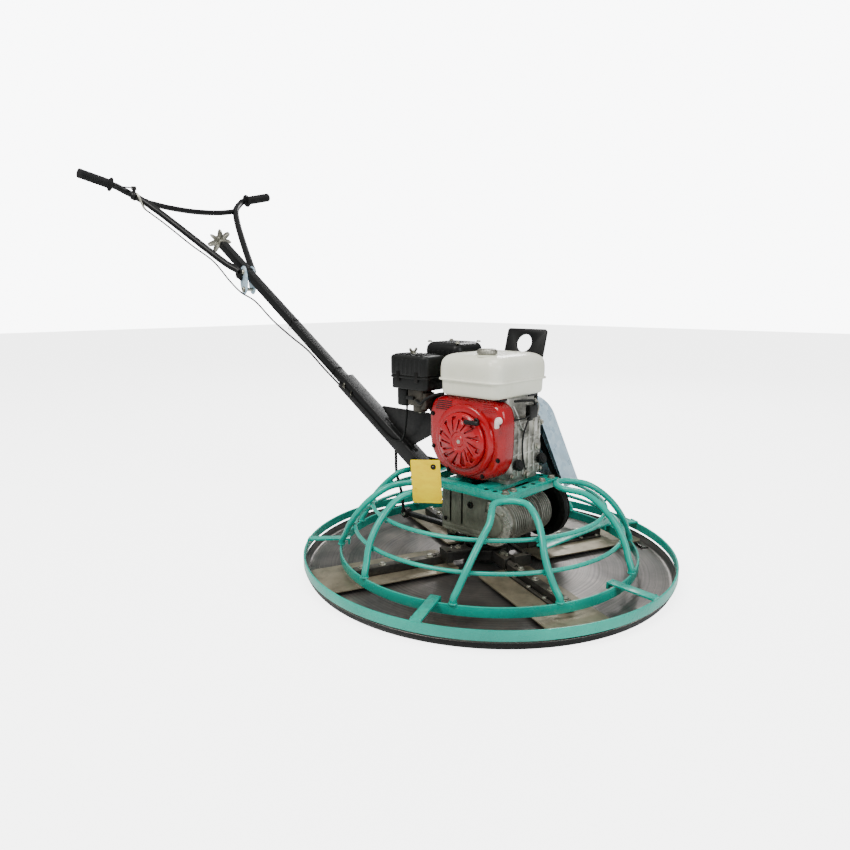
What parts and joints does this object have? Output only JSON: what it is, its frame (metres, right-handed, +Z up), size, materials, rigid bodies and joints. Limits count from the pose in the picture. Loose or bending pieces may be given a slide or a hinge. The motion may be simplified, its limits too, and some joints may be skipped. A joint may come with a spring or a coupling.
{
  "type": "walk-behind power trowel",
  "caption": "Walk-behind concrete power trowel with teal guard rings, float pan, pitched blades, worm gearbox, belt-driven petrol engine and a long fold-adjusted handle.",
  "frame": {"origin": "centre of the float pan's underside, on the floor", "axes": "+Z up along the rotor shaft; -Y points along the handle to the operator, +Y is the front of the machine, +X is the side with the starter"},
  "size_m": [0.96, 1.9941, 1.1239],
  "materials": {
    "teal_paint": "gloss enamel",
    "black_paint": "semi-gloss powder coat",
    "red_paint": "gloss enamel",
    "tank_paint": "gloss enamel",
    "worn_pan_steel": "scuffed",
    "shaft_steel": "machined",
    "blade_steel": "rolled, light wear",
    "dark_steel": "heat-darkened",
    "cap_steel": "satin",
    "galvanised_sheet": "galvanised",
    "cast_iron_dark": "as cast, oiled",
    "gearbox_cast": "as cast",
    "cast_aluminium": "as cast",
    "black_plastic": "fine grain",
    "pale_plastic": "smooth",
    "black_rubber": "matt",
    "yellow_card": "matt sheet"
  },
  "bodies": {
    "chassis": {"outer_guard_ring": "teal_paint", "middle_guard_ring": "teal_paint", "lower_rod_ring": "teal_paint", "upper_rod_ring": "teal_paint", "hairpin_leg_1": "teal_paint", "hairpin_leg_2": "teal_paint", "hairpin_leg_3": "teal_paint", "hairpin_leg_4": "teal_paint", "hairpin_leg_5": "teal_paint", "side_brace": "teal_paint", "mount_frame": "teal_paint", "gearbox_housing": "gearbox_cast", "gearbox_cover": "gearbox_cast", "input_housing": "cast_aluminium", "shaft_bearing": "shaft_steel", "v_belt": "black_rubber", "belt_guard": "galvanised_sheet", "crankcase": "cast_aluminium", "cylinder_head": "cast_aluminium", "fan_cover": "red_paint", "recoil_cover": "red_paint", "fuel_tank": "tank_paint", "air_cleaner": "black_plastic", "carburetor": "cast_aluminium", "muffler": "dark_steel", "muffler_guard": "black_paint", "lift_plate": "black_paint", "handle_socket": "black_paint", "handle_tube": "black_paint", "throttle_cable": "black_rubber", "hang_tag": "yellow_card"},
    "rotor": {"float_pan": "worn_pan_steel", "main_shaft": "shaft_steel", "worm_wheel": "shaft_steel", "spider": "cast_iron_dark"},
    "press_plate": {"pressure_plate": "shaft_steel"},
    "arm_1": {"trowel_arm_1": "cast_iron_dark", "trowel_blade_1": "blade_steel"},
    "arm_2": {"trowel_arm_2": "cast_iron_dark", "trowel_blade_2": "blade_steel"},
    "arm_3": {"trowel_arm_3": "cast_iron_dark", "trowel_blade_3": "blade_steel"},
    "arm_4": {"trowel_arm_4": "cast_iron_dark", "trowel_blade_4": "blade_steel"},
    "worm": {"worm_shaft": "shaft_steel", "driven_pulley": "black_paint"},
    "crank": {"crankshaft": "shaft_steel", "clutch_pulley": "dark_steel", "flywheel": "cast_aluminium"},
    "yoke": {"pitch_yoke": "black_paint"},
    "knob": {"star_knob": "cap_steel"},
    "bar": {"handlebar": "black_paint", "bar_clamp": "galvanised_sheet", "grip_right": "black_rubber", "grip_left": "black_rubber"},
    "throttle": {"throttle_lever": "black_paint"},
    "starter": {"recoil_grip": "black_plastic"},
    "cap": {"fuel_cap": "cap_steel"},
    "choke": {"choke_lever": "black_plastic"},
    "switch": {"engine_switch": "pale_plastic"}
  },
  "joints": [
    {"name": "rotor_spin", "type": "hinge", "parent": "chassis", "child": "rotor", "pos_m": [0, 0, 0], "axis": [0, 0, 1], "continuous": true},
    {"name": "press_plate_slide", "type": "slide", "parent": "rotor", "child": "press_plate", "axis": [0, 0, -1], "range_m": [0, 0.0032]},
    {"name": "arm_1_pitch", "type": "hinge", "parent": "rotor", "child": "arm_1", "pos_m": [0, 0, 0.031], "axis": [-0.9205, 0.3907, 0], "range_deg": [0, 5]},
    {"name": "arm_2_pitch", "type": "hinge", "parent": "rotor", "child": "arm_2", "pos_m": [0, 0, 0.031], "axis": [-0.3907, -0.9205, 0], "range_deg": [0, 5]},
    {"name": "arm_3_pitch", "type": "hinge", "parent": "rotor", "child": "arm_3", "pos_m": [0, 0, 0.031], "axis": [0.9205, -0.3907, 0], "range_deg": [0, 5]},
    {"name": "arm_4_pitch", "type": "hinge", "parent": "rotor", "child": "arm_4", "pos_m": [0, 0, 0.031], "axis": [0.3907, 0.9205, 0], "range_deg": [0, 5]},
    {"name": "worm_spin", "type": "hinge", "parent": "chassis", "child": "worm", "pos_m": [0, 0.062, 0.128], "axis": [1, 0, 0], "continuous": true},
    {"name": "crank_spin", "type": "hinge", "parent": "chassis", "child": "crank", "pos_m": [0, -0.01, 0.334], "axis": [1, 0, 0], "continuous": true},
    {"name": "yoke_tilt", "type": "hinge", "parent": "chassis", "child": "yoke", "pos_m": [0, -0.08, 0.076], "axis": [-1, 0, 0], "range_deg": [0, 2.25]},
    {"name": "knob_turn", "type": "hinge", "parent": "chassis", "child": "knob", "pos_m": [0, -1.24798, 0.89129], "axis": [0, -0.8329, 0.5534], "range_deg": [0, 360]},
    {"name": "bar_fold", "type": "hinge", "parent": "chassis", "child": "bar", "pos_m": [0, -1.073, 0.77503], "axis": [1, 0, 0], "range_deg": [-25, 25], "deforming": ["throttle_cable"]},
    {"name": "throttle_turn", "type": "hinge", "parent": "bar", "child": "throttle", "pos_m": [0.212, -1.451, 1.073], "axis": [0, 0, 1], "range_deg": [0, 60]},
    {"name": "starter_pull", "type": "slide", "parent": "chassis", "child": "starter", "axis": [1, 0, 0], "range_m": [0, 0.5], "stiffness_N_per_m": 20, "springref_m": -0.05},
    {"name": "fuel_cap_turn", "type": "hinge", "parent": "chassis", "child": "cap", "pos_m": [0.062, 0.038, 0], "axis": [0, 0, 1], "range_deg": [0, 90]},
    {"name": "choke_turn", "type": "hinge", "parent": "chassis", "child": "choke", "pos_m": [0, -0.186, 0.426], "axis": [1, 0, 0], "range_deg": [0, 60]},
    {"name": "switch_turn", "type": "hinge", "parent": "chassis", "child": "switch", "pos_m": [0, 0.092, 0.398], "axis": [1, 0, 0], "range_deg": [0, 45]}
  ],
  "couplings": [
    {"joint": "worm_spin", "follows": "rotor_spin", "ratio": 20},
    {"joint": "crank_spin", "follows": "rotor_spin", "ratio": 33.6},
    {"joint": "arm_1_pitch", "follows": "knob_turn", "ratio": 0.013889},
    {"joint": "arm_2_pitch", "follows": "knob_turn", "ratio": 0.013889},
    {"joint": "arm_3_pitch", "follows": "knob_turn", "ratio": 0.013889},
    {"joint": "arm_4_pitch", "follows": "knob_turn", "ratio": 0.013889},
    {"joint": "press_plate_slide", "follows": "knob_turn", "m_per_rad": 0.0005093},
    {"joint": "yoke_tilt", "follows": "knob_turn", "ratio": 0.00625}
  ]
}
